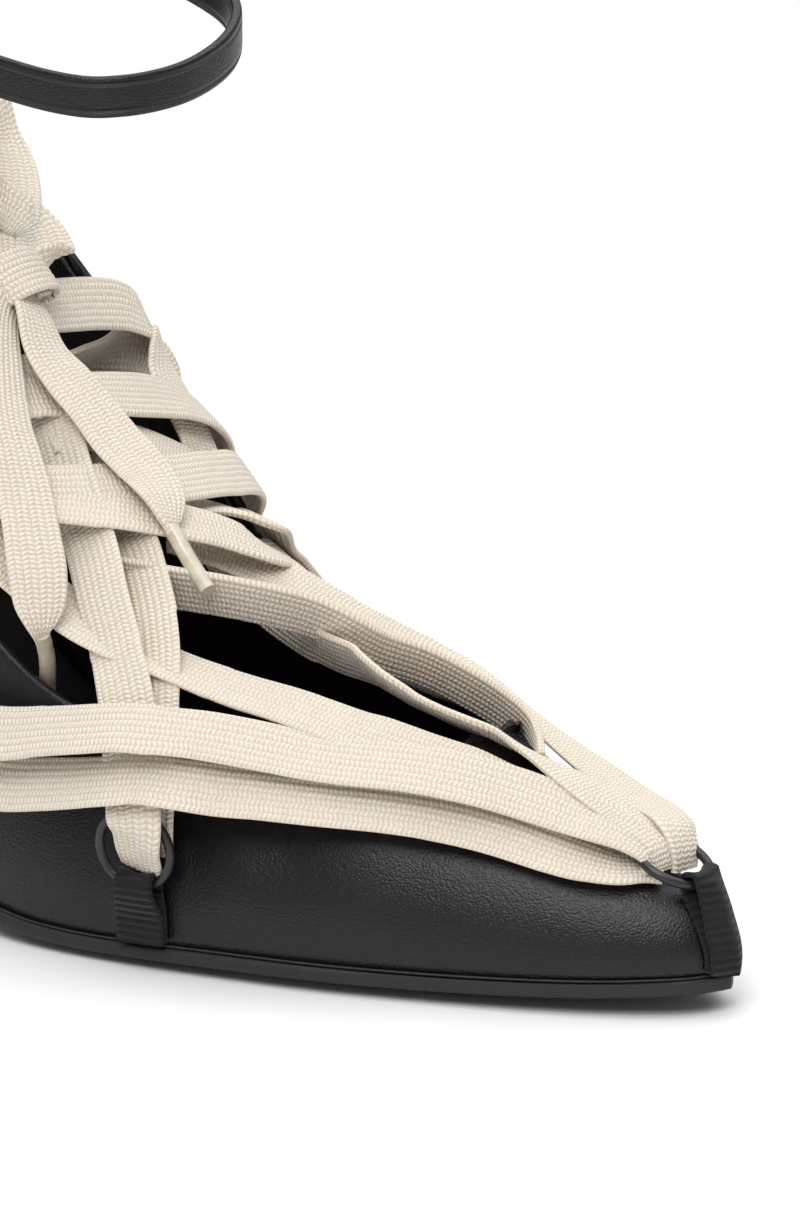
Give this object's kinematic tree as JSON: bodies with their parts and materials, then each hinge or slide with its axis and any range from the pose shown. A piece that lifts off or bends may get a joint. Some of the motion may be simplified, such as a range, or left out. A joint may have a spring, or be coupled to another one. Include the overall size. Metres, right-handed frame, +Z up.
{
  "type": "lace up heel",
  "caption": "Right shoe: black leather pointed-toe high heel with an ankle strap and flat cream laces run through ribbon-held rings.",
  "frame": {"origin": "centre of the heel tip's underside, on the floor plane", "axes": "+X towards the toe, +Y towards the inner (medial) side of the foot, +Z up"},
  "size_m": [0.2425, 0.0829, 0.1602],
  "materials": {
    "leather": "satin",
    "sole": "satin",
    "lining": "matte",
    "heel_tip": "matte",
    "ribbon": "matte",
    "ring": "satin",
    "lace": "matte",
    "aglet": "satin"
  },
  "bodies": {
    "root": {"outsole": "sole", "insole": "lining", "upper": "leather", "heel": "leather", "heel_tip": "heel_tip", "ankle_strap": "leather", "strap_keeper": "leather", "buckle": "ring", "lace_crossings": "lace", "lace_knot": "lace", "bow_loop_inner": "lace", "bow_loop_outer": "lace", "lace_end_long": "lace", "lace_end_short": "lace", "aglet_long": "aglet", "aglet_short": "aglet", "toe_tab": "ribbon", "toe_ring": "ring", "lateral_tab": "ribbon", "lateral_ring": "ring", "medial_tab": "ribbon", "medial_ring": "ring", "lateral_rear_tab": "ribbon", "lateral_rear_ring": "ring", "medial_rear_tab": "ribbon", "medial_rear_ring": "ring"}
  },
  "joints": []
}
